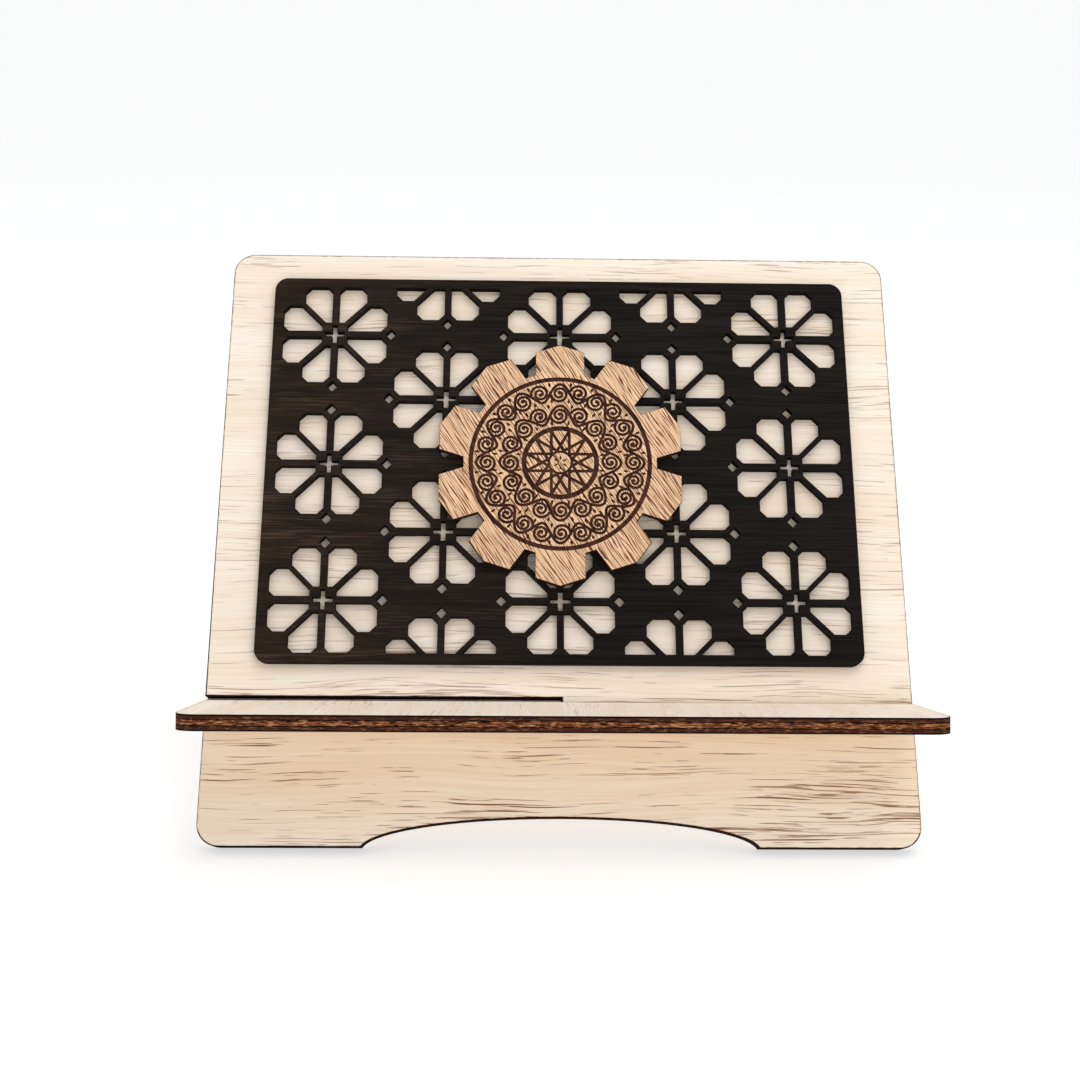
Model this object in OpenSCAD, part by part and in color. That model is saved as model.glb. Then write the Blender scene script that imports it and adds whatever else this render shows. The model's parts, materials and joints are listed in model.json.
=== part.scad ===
// Quran stand: two plywood boards slotted into each other, with a fretwork
// panel and a medallion on the back board. Millimetres, +Z up, X across the
// width. The reader sits on the -Y side, and the origin is on the table under
// the middle of the stand.

/* [Boards] */
// Width of the back board and of the shelf board
board_w = 280; // [265:1:320]
// Height of the back board, measured along it
back_h = 251; // [248:1:300]
// Thickness of both boards
board_t = 6; // [5:0.5:7]
// Thickness of each outer veneer of the boards
veneer_t = 1.9; // [1:0.1:2]
// Radius of the boards' corners
corner_r = 8.8; // [4:0.2:12]
// Angle of the back board above the table
recline = 52; // [48:1:56]
// Distance that the shelf stands forward of the back board
ledge = 56; // [46:1:60]

/* [Slots] */
// Height of the middle of the back board's slot above its bottom edge
slot_h = 54.2; // [50:0.2:56]
// Angle by which the shelf is out of square with the back board
droop = 15; // [10:1:18]
// Gap on each side of a board in the other board's slot
slot_gap = 0.04; // [0.02:0.01:0.1]
// Distance that the back board's slot runs past the middle of the board
slot_past = 0.6; // [0.2:0.1:2]
// Gap between the closed ends of the two slots
stop_gap = 0.05; // [0.02:0.01:0.1]

/* [Arches] */
// Distance between the two feet of a board
arch_span = 153.4; // [120:1:170]
// Height of the arch between the feet
arch_rise = 11.4; // [8:0.2:16]
// Depth of the arch's middle below the feet, which slants the arch's ends
arch_sink = 1.2; // [0.4:0.2:3]

/* [Fretwork panel] */
// Width of the panel
panel_w = 243; // [240:1:250]
// Height of the panel
panel_h = 167.5; // [164:0.5:170]
// Thickness of the panel
panel_t = 3; // [2:0.5:4]
// Radius of the panel's corners
panel_r = 5.5; // [3:0.5:8]
// Height of the middle of the panel above the back board's bottom edge
panel_s = 154.8; // [153:0.2:156]
// Plain border around the cut pattern
border = 4.1; // [3:0.1:5]
// Distance between two columns of flowers
pitch_x = 47.7; // [47:0.1:48]
// Distance between two rows of flowers
pitch_y = 28.95; // [28.5:0.05:29.2]

/* [Flowers] */
// Distance from a flower's centre to the outer edges of its petals
reach = 22; // [20:0.2:22.4]
// Distance from a flower's centre to the inner edges of its petals
hub = 5.3; // [5:0.1:6]
// Distance from a flower's upright axis to the far side of an upright petal
petal_side = 13.2; // [12:0.2:14]
// Width of the bars between petals on the two axes
bar = 2.8; // [2:0.1:3.2]
// Width of the bars between petals on the diagonals
diagonal_bar = 2; // [1.4:0.1:2.6]
// Size of the cut corner beside a diagonal bar
outer_cut = 2.75; // [1:0.25:3]
// Size of the cut corner beside an axis bar
inner_cut = 2.5; // [1:0.25:3]
// Length of each arm of the cross in a flower, from its centre
cross_arm = 4.1; // [3:0.1:4.3]
// Width of the arms of the cross
cross_w = 2; // [1.5:0.1:2.6]
// Distance from the centre to the points of the small diamonds
diamond_r = 2.4; // [1.5:0.1:3]

/* [Medallion] */
// Distance from the centre to the points of the teeth
tooth_r = 52.4; // [50:0.2:54]
// Width of each tooth
tooth_w = 20.3; // [18:0.1:22]
// Distance from the centre to the foot of each tooth
tooth_foot = 38.6; // [37:0.2:40]
// Thickness of the medallion
medal_t = 3; // [2:0.5:4]
// Thickness of the outer veneers of the panel and the medallion
thin_veneer_t = 0.9; // [0.5:0.1:0.9]

/* [Hidden] */

// Colours of the plies
pale_wood = [0.90, 0.84, 0.75];
cross_wood = [0.72, 0.58, 0.42];
black_stain = [0.13, 0.11, 0.10];
tan_wood = [0.72, 0.53, 0.37];
scorched = [0.22, 0.13, 0.08];

arc_fn = 96;       // facets of a full turn at the rounded corners
arch_steps = 60;   // straight pieces in an arch
overrun = 5;       // how far a cut runs past an open edge
teeth = 10;
tooth_slope = 18;  // slope of the two sides of a tooth's point

// The shelf falls to the rear at this angle
shelf_pitch = 90 - recline - droop;
// A board crosses the other one at a slant, so each slot is wider than the board
slant = board_t * tan(droop);
slot_w = board_t / cos(droop) + slant + 2 * slot_gap;
slot_low = slot_h - slot_w / 2;
shelf_slot_low = ledge - slant - slot_gap;
shelf_slot_end = slot_past - stop_gap;

// Where the shelf's top meets the front of the back board, up the board
meet_s = slot_h + slot_w / 2 - slot_gap - slant;
meet_y = meet_s * cos(recline) - board_t * sin(recline);
meet_z = meet_s * sin(recline) + board_t * cos(recline);

// Lower front edge of the shelf, and the depth that brings its rear edge to the table
shelf_y = meet_y - board_t * sin(shelf_pitch) - ledge * cos(shelf_pitch);
shelf_z = meet_z - board_t * cos(shelf_pitch) + ledge * sin(shelf_pitch);
shelf_d = shelf_z / sin(shelf_pitch);

// Shift that puts the origin under the middle of the whole stand
rear_y = back_h * cos(recline);
mid_y = (shelf_y + rear_y) / 2;

// Half-axes of the ellipse that each arch is the upper part of
arch_b = arch_rise + arch_sink;
arch_a = arch_span / 2 / sqrt(1 - pow(arch_sink / arch_b, 2));

window_w = panel_w - 2 * border;
window_h = panel_h - 2 * border;
core_t = board_t - 2 * veneer_t;
panel_core_t = panel_t - 2 * thin_veneer_t;
medal_core_t = medal_t - 2 * thin_veneer_t;

// Rows of flowers in a column: the odd columns are staggered, and their
// first and last flowers run off the panel
function rows(column) = column % 2 == 0 ? [-2, 0, 2] : [-3, -1, 1, 3];

// ---- Outlines, flat ----

// Rectangle with round corners, standing on the X axis
module rounded(w, h, r) {
    translate([-w / 2 + r, 0]) square([w - 2 * r, h]);
    translate([-w / 2, r]) square([w, h - 2 * r]);
    for (x = [-1, 1], y = [r, h - r])
        translate([x * (w / 2 - r), y]) circle(r, $fn = arc_fn);
}

// Arch that leaves two feet on a bottom edge
module arch() {
    polygon([
        for (i = [0 : arch_steps])
            let (a = 180 * i / arch_steps)
            [arch_a * cos(a), arch_b * sin(a) - arch_sink]
    ]);
}

// The back board: its slot opens at the left edge
module back_outline() {
    difference() {
        rounded(board_w, back_h, corner_r);
        arch();
        translate([-board_w / 2 - overrun, slot_low])
            square([board_w / 2 + overrun + slot_past, slot_w]);
    }
}

// The shelf board, front edge at Y = 0: its slot opens at the right edge
module shelf_outline() {
    difference() {
        rounded(board_w, shelf_d, corner_r);
        translate([0, shelf_d]) mirror([0, 1]) arch();
        translate([shelf_slot_end, shelf_slot_low])
            square([board_w / 2 + overrun - shelf_slot_end, slot_w]);
    }
}

// One petal, above a flower's centre and to the right of its upright axis
module petal() {
    b = bar / 2;
    d = diagonal_bar / sqrt(2);
    polygon([
        [b, hub],
        [hub - d, hub],
        [petal_side, petal_side + d],
        [petal_side, reach - outer_cut],
        [petal_side - outer_cut, reach],
        [b + inner_cut, reach],
        [b, reach - inner_cut]
    ]);
}

// A flower of eight petals around a cross
module flower() {
    for (a = [0 : 90 : 270], m = [0, 1])
        rotate(a) mirror([m, 0]) petal();
    square([2 * cross_arm, cross_w], center = true);
    square([cross_w, 2 * cross_arm], center = true);
}

module diamond() {
    rotate(45) square(diamond_r * sqrt(2), center = true);
}

// Small diamonds halfway to the next column, and as far above and below;
// those that would cut into the border are left out
module diamonds() {
    for (column = [-2 : 2], row = rows(column), a = [0 : 90 : 270]) {
        x = column * pitch_x + pitch_x / 2 * cos(a);
        y = row * pitch_y + pitch_x / 2 * sin(a);
        if (abs(x) < window_w / 2 - diamond_r && abs(y) < window_h / 2 - diamond_r)
            translate([x, y]) diamond();
    }
}

module flowers() {
    for (column = [-2 : 2], row = rows(column))
        translate([column * pitch_x, row * pitch_y]) flower();
}

module panel_outline() {
    difference() {
        translate([0, -panel_h / 2]) rounded(panel_w, panel_h, panel_r);
        intersection() {
            square([window_w, window_h], center = true);
            flowers();
        }
        diamonds();
    }
}

// Ring of teeth with parallel sides and pointed tips
module medallion_outline() {
    half = tooth_w / 2;
    shoulder = tooth_r - half * tan(tooth_slope);
    tooth = [
        [half, tooth_foot], [half, shoulder], [0, tooth_r],
        [-half, shoulder], [-half, tooth_foot]
    ];
    polygon([
        for (k = [0 : teeth - 1], p = tooth)
            let (a = 360 * k / teeth)
            [p.x * cos(a) - p.y * sin(a), p.x * sin(a) + p.y * cos(a)]
    ]);
}

// ---- Plies in place ----

// A ply of the back board or of what is glued on it: from is its height
// above the board's rear face
module on_back(from, thickness) {
    translate([0, -mid_y, 0])
        rotate([recline, 0, 0])
            translate([0, 0, from])
                linear_extrude(thickness) children();
}

// A ply of the shelf board: from is its height above the board's underside
module on_shelf(from, thickness) {
    translate([0, shelf_y - mid_y, shelf_z])
        rotate([-shelf_pitch, 0, 0])
            translate([0, 0, from])
                linear_extrude(thickness) children();
}

module back_board_rear_veneer() {
    color(pale_wood) on_back(0, veneer_t) back_outline();
}

module back_board_core() {
    color(cross_wood) on_back(veneer_t, core_t) back_outline();
}

module back_board_front_veneer() {
    color(pale_wood) on_back(board_t - veneer_t, veneer_t) back_outline();
}

module shelf_board_bottom_veneer() {
    color(pale_wood) on_shelf(0, veneer_t) shelf_outline();
}

module shelf_board_core() {
    color(scorched) on_shelf(veneer_t, core_t) shelf_outline();
}

module shelf_board_top_veneer() {
    color(pale_wood) on_shelf(board_t - veneer_t, veneer_t) shelf_outline();
}

// Panel and medallion plies are centred on the middle of the flower pattern
module panel_ply(from, thickness) {
    on_back(board_t + from, thickness) translate([0, panel_s]) panel_outline();
}

module medallion_ply(from, thickness) {
    on_back(board_t + panel_t + from, thickness) translate([0, panel_s]) medallion_outline();
}

module fretwork_back_veneer() {
    color(black_stain) panel_ply(0, thin_veneer_t);
}

module fretwork_core() {
    color(black_stain) panel_ply(thin_veneer_t, panel_core_t);
}

module fretwork_face_veneer() {
    color(black_stain) panel_ply(panel_t - thin_veneer_t, thin_veneer_t);
}

module medallion_back_veneer() {
    color(scorched) medallion_ply(0, thin_veneer_t);
}

module medallion_core() {
    color(scorched) medallion_ply(thin_veneer_t, medal_core_t);
}

module medallion_face_veneer() {
    color(tan_wood) medallion_ply(medal_t - thin_veneer_t, thin_veneer_t);
}

back_board_front_veneer();
back_board_core();
back_board_rear_veneer();
shelf_board_top_veneer();
shelf_board_core();
shelf_board_bottom_veneer();
fretwork_face_veneer();
fretwork_core();
fretwork_back_veneer();
medallion_face_veneer();
medallion_core();
medallion_back_veneer();
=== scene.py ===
import json
import math

import bmesh
import bpy
from mathutils import Matrix, Vector

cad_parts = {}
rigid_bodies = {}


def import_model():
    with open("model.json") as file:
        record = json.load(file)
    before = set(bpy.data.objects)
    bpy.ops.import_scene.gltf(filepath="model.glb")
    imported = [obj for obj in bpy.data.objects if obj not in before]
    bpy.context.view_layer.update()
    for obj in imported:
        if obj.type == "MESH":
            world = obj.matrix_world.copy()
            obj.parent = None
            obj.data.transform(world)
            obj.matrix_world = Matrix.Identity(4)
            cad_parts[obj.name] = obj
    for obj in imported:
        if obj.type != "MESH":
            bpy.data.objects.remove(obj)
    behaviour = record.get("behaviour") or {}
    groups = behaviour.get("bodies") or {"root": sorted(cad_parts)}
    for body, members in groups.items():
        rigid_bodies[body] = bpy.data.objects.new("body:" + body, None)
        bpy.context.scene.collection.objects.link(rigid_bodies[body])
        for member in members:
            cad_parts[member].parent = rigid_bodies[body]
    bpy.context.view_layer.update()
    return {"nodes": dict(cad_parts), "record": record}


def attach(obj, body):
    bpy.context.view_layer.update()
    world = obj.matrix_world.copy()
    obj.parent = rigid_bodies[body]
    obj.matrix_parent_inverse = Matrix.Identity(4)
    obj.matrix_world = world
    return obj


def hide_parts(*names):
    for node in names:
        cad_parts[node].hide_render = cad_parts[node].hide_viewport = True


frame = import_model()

nodes = frame["nodes"]
mm = 0.001
mounts = {m["name"]: m for m in frame["record"]["mounts"]}


def faceFrame(mountName):
    # X across, Y up the board, Z out of the face, from the middle of a mount's flat face
    mount = mounts[mountName]
    axis = Vector(mount["axis"])
    return Vector(mount["pos_m"]), math.atan2(-axis.y, axis.z)


backPlace, backTurn = faceFrame("book_back_rest")
shelfPlace, shelfTurn = faceFrame("book_ledge")
backMatrix = Matrix.Translation(backPlace) @ Matrix.Rotation(backTurn, 4, "X")
backNormal = backMatrix.to_3x3() @ Vector((0, 0, 1))
backDown = backMatrix.to_3x3() @ Vector((0, -1, 0))
shelfNormal = Matrix.Rotation(shelfTurn, 3, "X") @ Vector((0, 0, 1))

# the thickness of each sheet, and of a board's face veneer
sheets = {"medallion": 3 * mm, "fretwork": 3 * mm, "board": 6 * mm, "boardVeneer": 1.9 * mm}


# the studio: camera, sky, lights and floor
studio = {
    "lens": 46.8,
    "eye": (-0.0196, -0.5281, 0.3118),
    "turn": (68.44, -0.82, -0.90),  # degrees
    "floorSize": 150.0,
    "skyStrength": 0.78,
    "floorShade": 0.52,
    "floorGlow": 0.56,
    "lights": {  # place, aim, size, power, tint
        "overheadSoftbox": ((0.25, 0.0, 1.3), (0, 0, 0.08), 0.9, 5.8, (1.0, 0.98, 0.97)),
        "frontSoftbox": ((0.5, -1.15, 0.55), (0, 0, 0.1), 0.5, 2.0, (1.0, 0.985, 0.975)),
    },
}


def buildStudio():
    scene = bpy.context.scene
    scene.view_settings.view_transform = "Standard"
    lens = bpy.data.cameras.new("camera")
    lens.lens = studio["lens"]
    lens.clip_start = 0.01
    camera = bpy.data.objects.new("camera", lens)
    camera.location = studio["eye"]
    camera.rotation_euler = [math.radians(a) for a in studio["turn"]]
    scene.collection.objects.link(camera)
    scene.camera = camera

    world = bpy.data.worlds.new("sky")
    world.use_nodes = True
    sky = world.node_tree.nodes["Background"]
    sky.inputs["Color"].default_value = (0.985, 0.99, 1.0, 1)
    sky.inputs["Strength"].default_value = studio["skyStrength"]
    scene.world = world

    for name, (spot, aim, size, power, tint) in studio["lights"].items():
        light = bpy.data.lights.new(name, "AREA")
        light.size = size
        light.energy = power
        light.color = tint
        lamp = bpy.data.objects.new(name, light)
        lamp.location = spot
        lamp.rotation_euler = (Vector(aim) - Vector(spot)).to_track_quat("-Z", "Y").to_euler()
        scene.collection.objects.link(lamp)

    bm = bmesh.new()
    bmesh.ops.create_grid(bm, x_segments=1, y_segments=1, size=studio["floorSize"])
    mesh = bpy.data.meshes.new("floor")
    bm.to_mesh(mesh)
    bm.free()
    floor = bpy.data.objects.new("floor", mesh)
    scene.collection.objects.link(floor)
    material = bpy.data.materials.new("paleFloor")
    material.use_nodes = True
    shader = material.node_tree.nodes["Principled BSDF"]
    shade = studio["floorShade"]
    shader.inputs["Base Color"].default_value = (shade, shade, shade, 1)
    shader.inputs["Roughness"].default_value = 0.8
    shader.inputs["Specular IOR Level"].default_value = 0.0
    shader.inputs["Emission Color"].default_value = (1, 1, 1, 1)
    shader.inputs["Emission Strength"].default_value = studio["floorGlow"]
    mesh.materials.append(material)


buildStudio()
print("studio ready")


def rgb(red, green, blue):
    # a display colour, 0 to 255, in linear light
    def linear(c):
        c = c / 255
        return c / 12.92 if c <= 0.04045 else ((c + 0.055) / 1.055) ** 2.4

    return (linear(red), linear(green), linear(blue), 1)


def feed(tree, socket, value):
    # a link where the value is another node's socket, or else a plain number or colour
    if isinstance(value, bpy.types.NodeSocket):
        tree.links.new(value, socket)
    else:
        socket.default_value = value


def put(tree, kind, inputs=(), **settings):
    # a new node with its own settings, and values or links on its inputs
    node = tree.nodes.new(kind)
    for key, value in settings.items():
        setattr(node, key, value)
    for key, value in dict(inputs).items():
        feed(tree, node.inputs[key], value)
    return node


def sums(tree, operation, a, b=0.0, clamp=False):
    # one step of arithmetic on numbers that change over the surface
    node = tree.nodes.new("ShaderNodeMath")
    node.operation = operation
    node.use_clamp = clamp
    feed(tree, node.inputs[0], a)
    feed(tree, node.inputs[1], b)
    return node.outputs[0]


def ramp(tree, value, stops):
    # a stop is a position and a colour, and a plain number there makes a grey
    node = tree.nodes.new("ShaderNodeValToRGB")
    elements = node.color_ramp.elements
    while len(elements) < len(stops):
        elements.new(0.5)
    for element, (position, colour) in zip(elements, stops):
        element.position = position
        element.color = colour if hasattr(colour, "__len__") else (colour, colour, colour, 1)
    tree.links.new(value, node.inputs["Fac"])
    return node.outputs["Color"]


def blendColours(tree, factor, a, b, mode="MIX"):
    node = tree.nodes.new("ShaderNodeMix")
    node.data_type = "RGBA"
    node.blend_type = mode
    for index, value in ((0, factor), (6, a), (7, b)):  # this node's factor and colour sockets
        feed(tree, node.inputs[index], value)
    return node.outputs[2]


def startGroup(name, inputs, outputs):
    group = bpy.data.node_groups.new(name, "ShaderNodeTree")
    for label, kind, value in inputs:
        socket = group.interface.new_socket(label, in_out="INPUT", socket_type=kind)
        if value is not None:
            socket.default_value = value
    for label, kind in outputs:
        group.interface.new_socket(label, in_out="OUTPUT", socket_type=kind)
    return group, put(group, "NodeGroupInput").outputs, put(group, "NodeGroupOutput").inputs


def place(tree, group, inputs):
    # a shared effect, placed in a material with its own values
    node = tree.nodes.new("ShaderNodeGroup")
    node.node_tree = group
    for key, value in inputs.items():
        feed(tree, node.inputs[key], value)
    return node.outputs


def stretched(tree, vector, x, y, z):
    # coordinates multiplied along each axis, so that a noise repeats x, y and z times in a metre
    parts = put(tree, "ShaderNodeSeparateXYZ", {"Vector": vector}).outputs
    return put(tree, "ShaderNodeCombineXYZ", {
        "X": sums(tree, "MULTIPLY", parts["X"], x),
        "Y": sums(tree, "MULTIPLY", parts["Y"], y),
        "Z": sums(tree, "MULTIPLY", parts["Z"], z),
    }).outputs["Vector"]


# effects that several materials share: bent grain, streaks, dashes and laser scorch

def makeBend():
    # board coordinates with the grain's slow sideways drift; the fibres run along X
    group, given, out = startGroup("grainBend", [
        ("Vector", "NodeSocketVector", None), ("Drift", "NodeSocketFloat", 0.004),
    ], [("Vector", "NodeSocketVector")])
    drift = put(group, "ShaderNodeTexNoise", {
        "Vector": stretched(group, given["Vector"], 9, 24, 24), "Scale": 1.0, "Detail": 2.0,
    }).outputs["Fac"]
    offset = sums(group, "MULTIPLY", sums(group, "SUBTRACT", drift, 0.5), given["Drift"])
    shift = put(group, "ShaderNodeCombineXYZ", {"Y": offset}).outputs["Vector"]
    bent = put(group, "ShaderNodeVectorMath", {0: given["Vector"], 1: shift}, operation="ADD")
    group.links.new(bent.outputs["Vector"], out["Vector"])
    return group


def makeStreaks():
    # soft streaks, in repeats for each metre along and across the grain
    group, given, out = startGroup("softStreaks", [
        ("Vector", "NodeSocketVector", None),
        ("Along", "NodeSocketFloat", 12.0),
        ("Across", "NodeSocketFloat", 700.0),
    ], [("Value", "NodeSocketFloat")])
    noise = put(group, "ShaderNodeTexNoise", {
        "Vector": stretched(group, given["Vector"], given["Along"], given["Across"], given["Across"]),
        "Scale": 1.0, "Detail": 4.0, "Roughness": 0.6,
    }).outputs["Fac"]
    wide = sums(group, "MULTIPLY", sums(group, "SUBTRACT", noise, 0.5), 2.6)
    group.links.new(sums(group, "ADD", wide, 0.5, clamp=True), out["Value"])
    return group


def makeDashes():
    # crisp dashes along the grain; a higher cut leaves fewer of them
    group, given, out = startGroup("grainDashes", [
        ("Vector", "NodeSocketVector", None),
        ("Along", "NodeSocketFloat", 36.0),
        ("Across", "NodeSocketFloat", 1100.0),
        ("Cut", "NodeSocketFloat", 0.59),
        ("Sharpness", "NodeSocketFloat", 24.0),
        ("Clusters", "NodeSocketFloat", 1.0),
    ], [("Mask", "NodeSocketFloat")])
    noise = put(group, "ShaderNodeTexNoise", {
        "Vector": stretched(group, given["Vector"], given["Along"], given["Across"], given["Across"]),
        "Scale": 1.0, "Detail": 2.0, "Roughness": 0.5,
    }).outputs["Fac"]
    patches = put(group, "ShaderNodeTexNoise", {
        "Vector": stretched(group, given["Vector"], 11, 85, 85), "Scale": 1.0, "Detail": 2.0,
    }).outputs["Fac"]
    rise = sums(group, "MULTIPLY", sums(group, "SUBTRACT", patches, 0.52), 0.5)
    lifted = sums(group, "ADD", noise, sums(group, "MULTIPLY", rise, given["Clusters"]))
    excess = sums(group, "SUBTRACT", lifted, given["Cut"])
    over = sums(group, "MULTIPLY", excess, given["Sharpness"], clamp=True)
    group.links.new(over, out["Mask"])
    return group


def makeScorch():
    # Scorch is 1 on the laser-cut walls and falls to 0 over the burnt rim of a face
    group, given, out = startGroup("laserScorch", [
        ("Face", "NodeSocketColor", (1, 1, 1, 1)),
        ("Rim", "NodeSocketColor", (0.3, 0.12, 0.05, 1)),
        ("Wall", "NodeSocketColor", (0.05, 0.02, 0.01, 1)),
        ("Scorch", "NodeSocketFloat", 0.0),
        ("Vector", "NodeSocketVector", None),
        ("Rim Strength", "NodeSocketFloat", 0.6),
    ], [("Color", "NodeSocketColor"), ("Burn", "NodeSocketFloat")])
    rough = put(group, "ShaderNodeTexNoise", {
        "Vector": given["Vector"], "Scale": 420.0, "Detail": 3.0,
    }).outputs["Fac"]
    patchy = put(group, "ShaderNodeTexNoise", {
        "Vector": given["Vector"], "Scale": 45.0, "Detail": 2.0,
    }).outputs["Fac"]
    uneven = sums(group, "SUBTRACT", rough, 0.5)
    heat = sums(group, "ADD", given["Scorch"], uneven)
    rim = ramp(group, heat, [(0.22, 0.0), (0.66, 0.55), (0.9, 1.0)])
    patches = ramp(group, patchy, [(0.42, 0.4), (0.58, 1.0)])
    amount = sums(group, "MULTIPLY", sums(group, "MULTIPLY", rim, patches), given["Rim Strength"])
    tinted = blendColours(group, amount, given["Face"], given["Rim"])
    charred = sums(group, "ADD", given["Scorch"], sums(group, "MULTIPLY", uneven, 0.3))
    wall = ramp(group, charred, [(0.77, 0.0), (0.85, 1.0)])
    group.links.new(blendColours(group, wall, tinted, given["Wall"]), out["Color"])
    group.links.new(wall, out["Burn"])
    return group


grainBend = makeBend()
softStreaks = makeStreaks()
grainDashes = makeDashes()
laserScorch = makeScorch()


def startMaterial(name, origin, turn):
    # board coordinates: X across, Y up the board and Z out of it, from the origin
    material = bpy.data.materials.new(name)
    material.use_nodes = True
    tree = material.node_tree
    shader = tree.nodes["Principled BSDF"]
    objectPlace = put(tree, "ShaderNodeTexCoord").outputs["Object"]
    board = put(tree, "ShaderNodeMapping", {
        "Vector": objectPlace, "Location": origin, "Rotation": (turn, 0, 0),
    }, vector_type="TEXTURE").outputs["Vector"]
    return material, tree, shader, board


def alongGrain(tree, board, swing):
    # board coordinates swung in the board's plane, so that X runs with the fibres
    return put(tree, "ShaderNodeMapping", {
        "Vector": board, "Rotation": (0, 0, swing),
    }, vector_type="TEXTURE").outputs["Vector"]


def scorchValue(tree):
    return put(tree, "ShaderNodeAttribute", attribute_name="scorch").outputs["Fac"]


def addBump(tree, shader, height, strength, distance):
    bump = put(tree, "ShaderNodeBump", {
        "Height": height, "Strength": strength, "Distance": distance,
    })
    tree.links.new(bump.outputs["Normal"], shader.inputs["Normal"])


edgeFinish = {
    "shelf": {
        "rim": rgb(14, 5, 3), "glue": rgb(12, 5, 3), "outer": rgb(68, 34, 21), "core": rgb(112, 66, 42),
        "fleck": rgb(196, 146, 106), "pit": rgb(14, 6, 4),
    },
    # the back board's cut edges are darker than the shelf's: painted shade for its downward edges that lie in
    # shadow
    "back": {
        "rim": rgb(12, 4, 3), "glue": rgb(12, 4, 3), "outer": rgb(30, 9, 5), "core": rgb(46, 18, 11),
        "fleck": rgb(84, 44, 28), "pit": rgb(10, 4, 2),
    },
}


def charredPlies(tree, board, bottom, finish):
    # a cut edge of a board: two dark outer plies, a lighter torn core, near-black glue lines
    height = put(tree, "ShaderNodeSeparateXYZ", {"Vector": board}).outputs["Z"]
    level = sums(tree, "DIVIDE", sums(tree, "SUBTRACT", height, bottom), sheets["board"])
    streaks = put(tree, "ShaderNodeTexNoise", {
        "Vector": stretched(tree, board, 110, 110, 3200), "Scale": 1.0, "Detail": 4.0, "Roughness": 0.7,
    }).outputs["Fac"]
    flecks = put(tree, "ShaderNodeTexNoise", {
        "Vector": stretched(tree, board, 330, 330, 2200), "Scale": 1.0, "Detail": 3.0, "Roughness": 0.6,
    }).outputs["Fac"]
    wander = put(tree, "ShaderNodeTexNoise", {
        "Vector": stretched(tree, board, 45, 45, 60), "Scale": 1.0, "Detail": 3.0,
    }).outputs["Fac"]
    wobble = sums(tree, "MULTIPLY", sums(tree, "SUBTRACT", wander, 0.5), 0.14)
    share = sheets["boardVeneer"] / sheets["board"]
    inner = sums(tree, "ADD", level, wobble)
    plies = ramp(tree, inner, [
        (share - 0.045, finish["outer"]), (share - 0.015, finish["glue"]),
        (share + 0.025, finish["glue"]), (share + 0.055, finish["core"]),
        (1 - share - 0.06, finish["core"]), (1 - share - 0.02, finish["glue"]),
        (1 - share + 0.01, finish["glue"]), (1 - share + 0.05, finish["outer"]),
    ])
    shade = ramp(tree, streaks, [(0.40, 0.3), (0.5, 0.95), (0.60, 1.9)])
    lit = blendColours(tree, 1.0, plies, shade, "MULTIPLY")
    middle = ramp(tree, level, [
        (share, 0.3), (share + 0.08, 1.0), (1 - share - 0.08, 1.0), (1 - share, 0.3),
    ])
    pits = sums(tree, "MULTIPLY", ramp(tree, flecks, [(0.38, 1.0), (0.45, 0.0)]), middle)
    chips = sums(tree, "MULTIPLY", ramp(tree, flecks, [(0.57, 0.0), (0.62, 1.0)]), middle)
    lit = blendColours(tree, pits, lit, finish["pit"])
    lit = blendColours(tree, sums(tree, "MULTIPLY", chips, 0.8), lit, finish["fleck"])
    thin = sums(tree, "ADD", level, sums(tree, "MULTIPLY", sums(tree, "SUBTRACT", flecks, 0.5), 0.10))
    burnt = ramp(tree, thin, [(0.07, 1.0), (0.12, 0.0), (0.87, 0.0), (0.92, 1.0)])
    return blendColours(tree, burnt, lit, finish["rim"]), flecks


boardFinish = {
    "light": rgb(248, 239, 226),
    "middle": rgb(243, 231, 215),
    "dark": rgb(240, 226, 209),
    "pore": rgb(122, 68, 32),
    "rim": rgb(150, 82, 42),
    # painted shade under the shelf, multiplied onto the veneer
    "shelfShadeTint": rgb(249, 237, 224),
    "band": rgb(244, 232, 216),
    "drift": 0.012,
    "fibre": {"Along": 14.0, "Across": 1300.0},
    "bands": {"Along": 5.0, "Across": 70.0},
    "shortDashes": {"Along": 46.0, "Across": 1900.0, "Cut": 0.66, "Sharpness": 44.0},
    "longDashes": {"Along": 19.0, "Across": 1600.0, "Cut": 0.665, "Sharpness": 44.0, "Clusters": 0.7},
    "reach": 200 * mm,  # the stops below are shares of this, down from the middle of the face
    "shelfShadeFade": [(0.475, 0.0), (0.51, 1.0), (0.60, 0.8), (0.78, 0.2)],
    "upperDashes": 0.6,
    "specular": 0.14,
}


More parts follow.
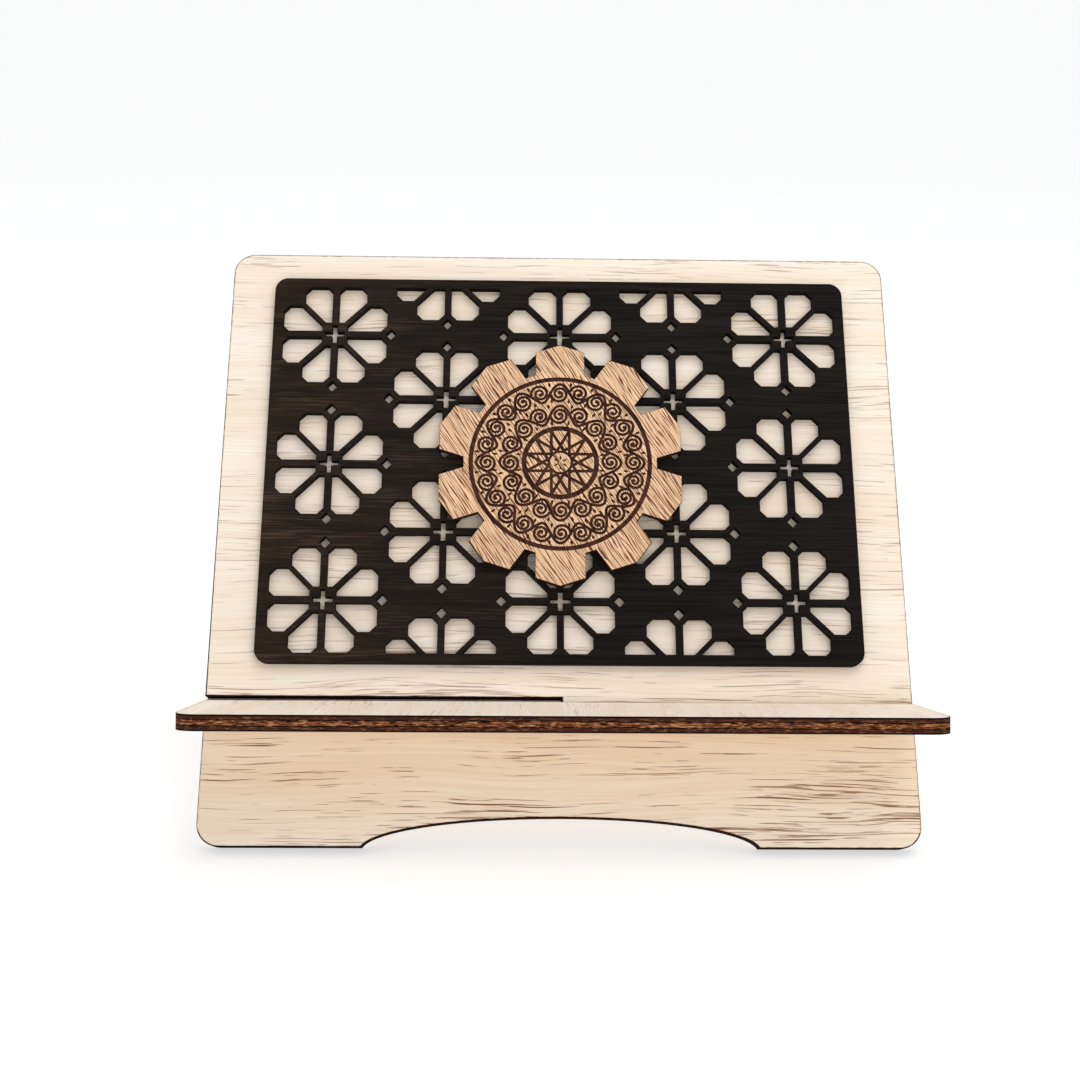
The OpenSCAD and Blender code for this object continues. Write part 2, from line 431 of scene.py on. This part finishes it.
def paleVeneer(name, origin, turn, top, swing, dashes, finish):
    # top is how far the board's upper face lies under the origin; swing turns the grain
    material, tree, shader, board = startMaterial(name, origin, turn)
    along = alongGrain(tree, board, swing) if swing else board
    bent = place(tree, grainBend, {"Vector": along, "Drift": boardFinish["drift"]})["Vector"]
    fibre = place(tree, softStreaks, {"Vector": bent, **boardFinish["fibre"]})["Value"]
    band = place(tree, softStreaks, {"Vector": bent, **boardFinish["bands"]})["Value"]
    tone = ramp(tree, fibre, [
        (0.1, boardFinish["dark"]), (0.5, boardFinish["middle"]), (0.9, boardFinish["light"]),
    ])
    bands = ramp(tree, band, [(0.2, boardFinish["band"]), (0.8, 1.0)])
    tone = blendColours(tree, 0.5, tone, bands, "MULTIPLY")
    short = place(tree, grainDashes, {"Vector": bent, **boardFinish["shortDashes"]})["Mask"]
    long = place(tree, grainDashes, {"Vector": bent, **boardFinish["longDashes"]})["Mask"]
    # stronger dashes below the slots, and painted shade: a warmer, darker tone just under the shelf that
    # fades towards the foot
    up = put(tree, "ShaderNodeSeparateXYZ", {"Vector": board}).outputs["Y"]
    down = sums(tree, "MULTIPLY", up, -1 / boardFinish["reach"])
    # painted shade: strongest just under the shelf and fading towards the foot
    low = ramp(tree, down, boardFinish["shelfShadeFade"])
    weight = ramp(tree, down, [(0.45, boardFinish["upperDashes"] * dashes), (0.52, dashes)])
    faint = sums(tree, "MULTIPLY", short, 0.8)
    tone = blendColours(tree, sums(tree, "MULTIPLY", faint, weight), tone, boardFinish["pore"])
    tone = blendColours(tree, sums(tree, "MULTIPLY", long, weight), tone, boardFinish["pore"])
    # the painted shade under the shelf, multiplied onto the veneer's tone
    tone = blendColours(tree, low, tone, blendColours(tree, 1.0, tone, boardFinish["shelfShadeTint"], "MULTIPLY"))
    walls, rough = charredPlies(tree, board, -top - sheets["board"], finish)
    burnt = place(tree, laserScorch, {
        "Face": tone, "Rim": boardFinish["rim"], "Wall": walls, "Scorch": scorchValue(tree),
        "Vector": board, "Rim Strength": 0.8,
    })
    tree.links.new(burnt["Color"], shader.inputs["Base Color"])
    gloss = ramp(tree, fibre, [(0.2, 0.72), (0.8, 0.58)])
    tree.links.new(sums(tree, "MAXIMUM", gloss, burnt["Burn"]), shader.inputs["Roughness"])
    shader.inputs["Specular IOR Level"].default_value = boardFinish["specular"]
    height = sums(tree, "SUBTRACT", sums(tree, "MULTIPLY", fibre, 0.4), sums(tree, "MAXIMUM", short, long))
    torn = sums(tree, "MULTIPLY", sums(tree, "MULTIPLY", rough, burnt["Burn"]), 3.0)
    addBump(tree, shader, sums(tree, "ADD", height, torn), 0.5, 0.12 * mm)
    return material


def charredCore(name, origin, turn, top, finish):
    material, tree, shader, board = startMaterial(name, origin, turn)
    walls, rough = charredPlies(tree, board, -top - sheets["board"], finish)
    tree.links.new(walls, shader.inputs["Base Color"])
    shader.inputs["Roughness"].default_value = 0.9
    shader.inputs["Specular IOR Level"].default_value = 0.0
    addBump(tree, shader, rough, 0.8, 0.3 * mm)
    return material


blackFinish = {
    "stain": rgb(24, 19, 14),
    "deep": rgb(9, 7, 5),
    "brown": rgb(54, 40, 28),
    "worn": rgb(104, 86, 74),
    "wall": rgb(5, 4, 4),
    "edge": (rgb(5, 4, 4), rgb(15, 11, 10)),
    "fibre": {"Along": 24.0, "Across": 1500.0},
    "patches": {"Along": 20.0, "Across": 130.0},
    "wornDashes": {"Along": 62.0, "Across": 1900.0, "Cut": 0.58},
    "specular": 0.1,
}


def blackStain(name, origin, turn):
    material, tree, shader, board = startMaterial(name, origin, turn)
    bent = place(tree, grainBend, {"Vector": board, "Drift": 0.004})["Vector"]
    fibre = place(tree, softStreaks, {"Vector": bent, **blackFinish["fibre"]})["Value"]
    tone = ramp(tree, fibre, [(0.15, blackFinish["deep"]), (0.85, blackFinish["stain"])])
    # lighter and browner towards the left edge, in patches
    across = put(tree, "ShaderNodeSeparateXYZ", {"Vector": board}).outputs["X"]
    side = ramp(tree, sums(tree, "ADD", sums(tree, "MULTIPLY", across, -4.0), 0.5), [(0.5, 0.0), (0.98, 1.0)])
    patches = place(tree, softStreaks, {"Vector": bent, **blackFinish["patches"]})["Value"]
    thin = sums(tree, "MULTIPLY", side, ramp(tree, patches, [(0.15, 0.2), (0.85, 1.0)]))
    tone = blendColours(tree, sums(tree, "MULTIPLY", thin, 0.6), tone, blackFinish["brown"])
    worn = place(tree, grainDashes, {"Vector": bent, **blackFinish["wornDashes"]})["Mask"]
    wear = sums(tree, "MULTIPLY", worn, sums(tree, "ADD", sums(tree, "MULTIPLY", thin, 0.26), 0.03))
    tone = blendColours(tree, wear, tone, blackFinish["worn"])
    burnt = place(tree, laserScorch, {
        "Face": tone, "Rim": blackFinish["wall"], "Wall": blackFinish["wall"],
        "Scorch": scorchValue(tree), "Vector": board, "Rim Strength": 1.0,
    })
    tree.links.new(burnt["Color"], shader.inputs["Base Color"])
    tree.links.new(ramp(tree, fibre, [(0.2, 0.80), (0.8, 0.66)]), shader.inputs["Roughness"])
    shader.inputs["Specular IOR Level"].default_value = blackFinish["specular"]
    addBump(tree, shader, fibre, 0.5, 0.12 * mm)
    return material


def charredThin(name, origin, turn, dark, light):
    # the cut edges of the thin sheets
    material, tree, shader, board = startMaterial(name, origin, turn)
    streaks = place(tree, softStreaks, {"Vector": board, "Along": 700.0, "Across": 1500.0})["Value"]
    tree.links.new(ramp(tree, streaks, [(0.2, dark), (0.8, light)]), shader.inputs["Base Color"])
    shader.inputs["Roughness"].default_value = 0.85
    shader.inputs["Specular IOR Level"].default_value = 0.1
    addBump(tree, shader, streaks, 0.5, 0.2 * mm)
    return material


tanFinish = {
    "light": rgb(238, 200, 161),
    "middle": rgb(216, 171, 131),
    "dark": rgb(92, 46, 22),
    "rim": rgb(80, 32, 16),
    "wall": rgb(52, 20, 11),
    "edge": (rgb(26, 10, 7), rgb(70, 34, 22)),
    "engraved": (rgb(40, 17, 10), rgb(78, 46, 32)),
    "slope": math.radians(-57),
    "lineStep": 1.08 * mm,
    "fibre": {"Along": 40.0, "Across": 1300.0},
    "breaks": {"Along": 85.0, "Across": 900.0},
    "specular": 0.3,
}


def tanVeneer(name, origin, turn):
    material, tree, shader, board = startMaterial(name, origin, turn)
    along = alongGrain(tree, board, tanFinish["slope"])
    bent = place(tree, grainBend, {"Vector": along, "Drift": 0.003})["Vector"]
    fibre = place(tree, softStreaks, {"Vector": bent, **tanFinish["fibre"]})["Value"]
    tone = ramp(tree, fibre, [(0.2, tanFinish["middle"]), (0.7, tanFinish["light"])])
    # evenly spaced grain lines that waver a little and break up along their length
    waver = put(tree, "ShaderNodeTexNoise", {
        "Vector": stretched(tree, bent, 30, 260, 260), "Scale": 1.0, "Detail": 2.0,
    }).outputs["Fac"]
    across = put(tree, "ShaderNodeSeparateXYZ", {"Vector": bent}).outputs["Y"]
    phase = sums(tree, "MULTIPLY", across, 2 * math.pi / tanFinish["lineStep"])
    wave = sums(tree, "SINE", sums(tree, "ADD", phase, sums(tree, "MULTIPLY", waver, 30.0)))
    unbroken = place(tree, softStreaks, {"Vector": bent, **tanFinish["breaks"]})["Value"]
    depth = ramp(tree, unbroken, [(0.30, 0.15), (0.60, 1.0)])
    lines = sums(tree, "MULTIPLY", ramp(tree, wave, [(0.0, 0.0), (0.30, 1.0)]), depth)
    tone = blendColours(tree, lines, tone, tanFinish["dark"])
    burnt = place(tree, laserScorch, {
        "Face": tone, "Rim": tanFinish["rim"], "Wall": tanFinish["wall"],
        "Scorch": scorchValue(tree), "Vector": board, "Rim Strength": 0.85,
    })
    tree.links.new(burnt["Color"], shader.inputs["Base Color"])
    tree.links.new(ramp(tree, fibre, [(0.2, 0.68), (0.8, 0.54)]), shader.inputs["Roughness"])
    shader.inputs["Specular IOR Level"].default_value = tanFinish["specular"]
    height = sums(tree, "SUBTRACT", sums(tree, "MULTIPLY", fibre, 0.5), lines)
    addBump(tree, shader, height, 0.6, 0.14 * mm)
    return material


def engravedWood(name, origin, turn, dark, light):
    material, tree, shader, board = startMaterial(name, origin, turn)
    along = alongGrain(tree, board, tanFinish["slope"])
    fibre = place(tree, softStreaks, {"Vector": along, "Along": 60.0, "Across": 1100.0})["Value"]
    tree.links.new(ramp(tree, fibre, [(0.2, dark), (0.8, light)]), shader.inputs["Base Color"])
    shader.inputs["Roughness"].default_value = 0.8
    shader.inputs["Specular IOR Level"].default_value = 0.15
    addBump(tree, shader, fibre, 0.5, 0.15 * mm)
    return material


boardTop = sheets["medallion"] + sheets["fretwork"]  # how far the board lies under the medallion's face
backVeneer = paleVeneer("paleVeneerBack", backPlace, backTurn, boardTop, swing=0.0, dashes=0.9,
                        finish=edgeFinish["back"])
backCore = charredCore("charredCoreBack", backPlace, backTurn, boardTop, edgeFinish["back"])
shelfVeneer = paleVeneer("paleVeneerShelf", shelfPlace, shelfTurn, 0.0, swing=math.radians(90), dashes=0.8,
                         finish=edgeFinish["shelf"])
shelfCore = charredCore("charredCoreShelf", shelfPlace, shelfTurn, 0.0, edgeFinish["shelf"])
stain = blackStain("blackStain", backPlace, backTurn)
stainEdge = charredThin("blackEdge", backPlace, backTurn, *blackFinish["edge"])
medallionWood = tanVeneer("tanVeneer", backPlace, backTurn)
medallionCut = engravedWood("engravedWood", backPlace, backTurn, *tanFinish["engraved"])
medallionEdge = charredThin("medallionEdge", backPlace, backTurn, *tanFinish["edge"])
print("materials ready")


weld = 0.002 * mm  # points closer than this are merged


def dress(nodeName, material):
    # a CAD node that stays, with its own material
    mesh = nodes[nodeName].data
    mesh.materials.clear()
    mesh.materials.append(material)


def cutSheet(nodeName, outward, rim):
    # a merged copy of a flat sheet, with a narrow band set in round every edge of its outer face
    bm = bmesh.new()
    bm.from_mesh(nodes[nodeName].data)
    bmesh.ops.remove_doubles(bm, verts=bm.verts, dist=weld)
    bmesh.ops.dissolve_limit(bm, angle_limit=math.radians(0.5), verts=bm.verts, edges=bm.edges)
    face = [f for f in bm.faces if f.normal.dot(outward) > 0.99]
    bmesh.ops.inset_region(bm, faces=face, thickness=rim, use_even_offset=True, use_boundary=True)
    return bm


def markScorch(bm, outward, down=None, cutIndex=1):
    # 1 on the laser-cut walls and 1.55 on walls that face down, where the extra is painted shade on top of
    # the char; 0 elsewhere and on engraved faces
    bm.normal_update()
    layer = bm.verts.layers.float.new("scorch")
    for face in bm.faces:
        if abs(face.normal.dot(outward)) < 0.5 and face.material_index != cutIndex:
            # walls facing down: real char plus painted shade
            burnAndShade = 1.55 if down and face.normal.dot(down) > 0.4 else 1.0
            for vert in face.verts:
                vert[layer] = max(vert[layer], burnAndShade)


def finishSheet(bm, name, body, nodeName, materials):
    mesh = bpy.data.meshes.new(name)
    bm.to_mesh(mesh)
    bm.free()
    for material in materials:
        mesh.materials.append(material)
    piece = bpy.data.objects.new(name, mesh)
    bpy.context.scene.collection.objects.link(piece)
    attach(piece, body)
    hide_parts(nodeName)
    return piece


veneers = {
    "back_board_front_veneer": {
        "name": "frontVeneer", "body": "back_board", "slot": "pale_veneer", "material": backVeneer,
        "outward": backNormal, "down": backDown, "rim": 0.9 * mm,
    },
    "back_board_rear_veneer": {
        "name": "rearVeneer", "body": "back_board", "slot": "pale_veneer", "material": backVeneer,
        "outward": -backNormal, "down": None, "rim": 0.9 * mm,
    },
    "shelf_board_top_veneer": {
        "name": "shelfTopVeneer", "body": "shelf_board", "slot": "pale_veneer", "material": shelfVeneer,
        "outward": shelfNormal, "down": None, "rim": 0.9 * mm,
    },
    "shelf_board_bottom_veneer": {
        "name": "shelfUnderVeneer", "body": "shelf_board", "slot": "pale_veneer", "material": shelfVeneer,
        "outward": -shelfNormal, "down": None, "rim": 0.9 * mm,
    },
    "fretwork_face_veneer": {
        "name": "fretworkFace", "body": "back_board", "slot": "black_stained_veneer", "material": stain,
        "outward": backNormal, "down": None, "rim": 0.45 * mm,
    },
}

for nodeName, veneer in veneers.items():
    bm = cutSheet(nodeName, veneer["outward"], veneer["rim"])
    markScorch(bm, veneer["outward"], veneer["down"])
    finishSheet(bm, veneer["name"], veneer["body"], nodeName, [veneer["material"]])

dress("back_board_core", backCore)
dress("shelf_board_core", shelfCore)
dress("fretwork_core", stainEdge)
dress("fretwork_back_veneer", stainEdge)
dress("medallion_core", medallionEdge)
dress("medallion_back_veneer", medallionEdge)
print("boards and fretwork ready")


engraving = {
    "rim": 0.35 * mm,  # the burnt rim of the medallion's outline
    "depth": 0.35 * mm,
    "above": 0.30 * mm,  # how far the cutters stand out of the face
    "outerRing": (35.95 * mm, 37.8 * mm),
    "innerRing": (13.9 * mm, 15.95 * mm),
    "hubRing": (4.2 * mm, 5.2 * mm),
    "starPoints": 12,
    "starStep": 5,
    "starLine": 1.25 * mm,
    "starOverlap": {"ring": 0.4 * mm, "hub": 0.5 * mm},  # how far the star's lines run into both rings
    "petals": {"count": 6, "start": 0.9 * mm, "end": 3.0 * mm, "wide": 0.42 * mm},
    "strokeLift": 0.06 * mm,  # how far the middle of a round stroke lies above the face
    "finestTip": 0.15 * mm,
}

cutters = bpy.data.collections.new("cutters")


def keepCutter(bm, name):
    bmesh.ops.recalc_face_normals(bm, faces=bm.faces)
    mesh = bpy.data.meshes.new(name)
    bm.to_mesh(mesh)
    bm.free()
    mesh.transform(backMatrix)
    mesh.materials.append(medallionCut)
    cutter = bpy.data.objects.new(name, mesh)
    cutters.objects.link(cutter)


def polar(radius, degrees):
    # a point on the medallion's face, clockwise from the top
    angle = math.radians(degrees)
    return Vector((radius * math.sin(angle), radius * math.cos(angle), 0))


def ringCutter(name, inner, outer):
    bm = bmesh.new()
    low, high = -engraving["depth"], engraving["above"]
    corners = [bm.verts.new((r, 0, z)) for r, z in ((inner, low), (outer, low), (outer, high), (inner, high))]
    edges = [bm.edges.new((corners[i], corners[(i + 1) % 4])) for i in range(4)]
    bmesh.ops.spin(bm, geom=corners + edges, axis=(0, 0, 1), cent=(0, 0, 0), angle=2 * math.pi,
                   steps=120, use_merge=True)
    bmesh.ops.remove_doubles(bm, verts=bm.verts, dist=0.5 * weld)
    keepCutter(bm, name)


def barCutter(name, ends, width):
    # straight bars, one for each pair of end points
    bm = bmesh.new()
    low, high = -engraving["depth"], engraving["above"]
    for start, end in ends:
        middle, reach = (start + end) / 2, end - start
        made = bmesh.ops.create_cube(bm, size=1.0)["verts"]
        bmesh.ops.scale(bm, verts=made, vec=(reach.length, width, high - low))
        turn = Matrix.Rotation(math.atan2(reach.y, reach.x), 3, "Z")
        bmesh.ops.rotate(bm, verts=made, cent=(0, 0, 0), matrix=turn)
        bmesh.ops.translate(bm, verts=made, vec=(middle.x, middle.y, (high + low) / 2))
    keepCutter(bm, name)


def strokeCutter(name, strokes):
    # each stroke is a list of (point, half width); a round tube follows it, sunk into the face
    curve = bpy.data.curves.new(name, "CURVE")
    curve.dimensions = "3D"
    curve.bevel_depth = 1.0
    curve.bevel_resolution = 1
    curve.use_fill_caps = True
    for stroke in strokes:
        closed = (stroke[0][0] - stroke[-1][0]).length < weld
        line = stroke[:-1] if closed else stroke
        spline = curve.splines.new("POLY")
        spline.points.add(len(line) - 1)
        for knot, (point, half) in zip(spline.points, line):
            knot.co = (point.x, point.y, engraving["strokeLift"], 1)
            knot.radius = half
        spline.use_cyclic_u = closed
    holder = bpy.data.objects.new(name + "Line", curve)
    bpy.context.scene.collection.objects.link(holder)
    made = bpy.data.meshes.new_from_object(holder.evaluated_get(bpy.context.evaluated_depsgraph_get()))
    bpy.data.objects.remove(holder)
    bm = bmesh.new()
    bm.from_mesh(made)
    bmesh.ops.remove_doubles(bm, verts=bm.verts, dist=0.5 * weld)
    keepCutter(bm, name)


def dotCutter(name, dots):
    # flat-bottomed round holes, one for each point and radius
    bm = bmesh.new()
    low, high = -engraving["depth"], engraving["above"]
    for point, radius in dots:
        made = bmesh.ops.create_cone(bm, cap_ends=True, segments=20, radius1=radius, radius2=radius,
                                     depth=high - low)["verts"]
        bmesh.ops.translate(bm, verts=made, vec=(point.x, point.y, (high + low) / 2))
    keepCutter(bm, name)


def leaf(start, end, wide, count=8):
    # a teardrop, widest past its middle and ending in a fine tip
    stroke = []
    for i in range(count + 1):
        t = i / count
        half = wide * math.sin(math.pi * t ** 1.3) ** 0.8 if 0 < i < count else 0.0
        stroke.append((start.lerp(end, t), max(engraving["finestTip"], half)))
    return stroke


def engraveRosette():
    ringCutter("outerRing", *engraving["outerRing"])
    ringCutter("innerRing", *engraving["innerRing"])
    ringCutter("hubRing", *engraving["hubRing"])
    count = engraving["starPoints"]
    step = 360 / count
    radius = engraving["innerRing"][0] + engraving["starOverlap"]["ring"]
    inside = engraving["hubRing"][0] + engraving["starOverlap"]["hub"]
    for k in range(count):
        start = polar(radius, step * (k + 0.5))
        end = polar(radius, step * (k + 0.5 + engraving["starStep"]))
        middle, direction = (start + end) / 2, (end - start).normalized()
        skip = math.sqrt(inside ** 2 - middle.length ** 2)
        barCutter("starLine%d" % k, [
            (start, middle - direction * skip), (middle + direction * skip, end),
        ], engraving["starLine"])
    petals = engraving["petals"]
    angles = [k * 360 / petals["count"] for k in range(petals["count"])]
    strokeCutter("hubPetals", [
        leaf(polar(petals["start"], a), polar(petals["end"], a), petals["wide"]) for a in angles
    ])


vines = {
    "outerVine": {"middle": 30.85 * mm, "lobes": 24, "rise": 3.75 * mm},
    "innerVine": {"middle": 21.25 * mm, "lobes": 16, "rise": 3.75 * mm},
}
scrollShape = {
    "half": 0.64 * mm,  # half the width of a vine, and of a scroll at its start
    "first": 3.85 * mm,  # the spiral's radius where it starts
    "last": 0.85 * mm,
    "turns": 1.72,
    "offset": 0.5 * mm,  # from the vine's middle circle to the spiral's centre
    "slip": 0.3 * mm,  # along that circle
    "bud": 0.85 * mm,
}
leafShapes = {  # from and to, off the vine's middle circle, and half the width
    "outer": (2.5 * mm, 4.75 * mm, 0.6 * mm),
    "inner": (-2.3 * mm, -4.75 * mm, 0.55 * mm),
}
waveSteps = 12  # points on each lobe of a vine


def scroll(centre, axis, hand, count=44):
    # a spiral that leaves the vine at the lobe's side and winds in to a bud, growing thinner
    first, last = scrollShape["first"], scrollShape["last"]
    stroke = []
    for i in range(count + 1):
        t = i / count
        radius = first + (last - first) * t ** 0.88
        angle = axis - 90 + hand * 360 * scrollShape["turns"] * t
        stroke.append((centre + polar(radius, angle), scrollShape["half"] * (1 - 0.18 * t)))
    return stroke


def engraveVine(name, vine):
    # a wave that swings out and in; a scroll fills each of its lobes, and leaves the gaps between
    step = 360 / vine["lobes"]
    middle = vine["middle"]
    wave = []
    for i in range(waveSteps * vine["lobes"]):
        swing = vine["rise"] * math.cos(math.pi * i / waveSteps)
        wave.append((polar(middle + swing, step * i / waveSteps), scrollShape["half"]))
    strokeCutter(name, [wave + wave[:1]])
    scrolls, buds, leaves = [], [], []
    for k in range(vine["lobes"]):
        side = 1 if k % 2 == 0 else -1
        axis = step * k - math.degrees(scrollShape["slip"] / middle)
        centre = polar(middle - side * scrollShape["offset"], axis)
        scrolls.append(scroll(centre, axis, -side))
        buds.append((scrolls[-1][-1][0].lerp(centre, 0.35), scrollShape["bud"]))
        between = step * (k + 0.5)
        for near, far, wide in leafShapes.values():
            leaves.append(leaf(polar(middle + near, between), polar(middle + far, between), wide))
    strokeCutter(name + "Scrolls", scrolls)
    dotCutter(name + "Buds", buds)
    strokeCutter(name + "Leaves", leaves)


engraveRosette()
for vineName, vine in vines.items():
    engraveVine(vineName, vine)

bm = cutSheet("medallion_face_veneer", backNormal, engraving["rim"])
medallion = finishSheet(bm, "engravedMedallionFace", "back_board", "medallion_face_veneer",
                        [medallionWood, medallionCut])
carve = medallion.modifiers.new("carve", "BOOLEAN")
carve.operation = "DIFFERENCE"
carve.operand_type = "COLLECTION"
carve.collection = cutters
carve.solver = "MANIFOLD"
carve.material_mode = "TRANSFER"
carved = bpy.data.meshes.new_from_object(medallion.evaluated_get(bpy.context.evaluated_depsgraph_get()))
medallion.modifiers.clear()
bm = bmesh.new()
bm.from_mesh(carved)
print("engraving cut,", len(bm.faces), "faces")
bmesh.ops.remove_doubles(bm, verts=bm.verts, dist=0.5 * weld)
markScorch(bm, backNormal)
bm.to_mesh(medallion.data)
bm.free()
for cutter in list(cutters.objects):
    bpy.data.objects.remove(cutter)
bpy.data.collections.remove(cutters)
print("medallion ready")
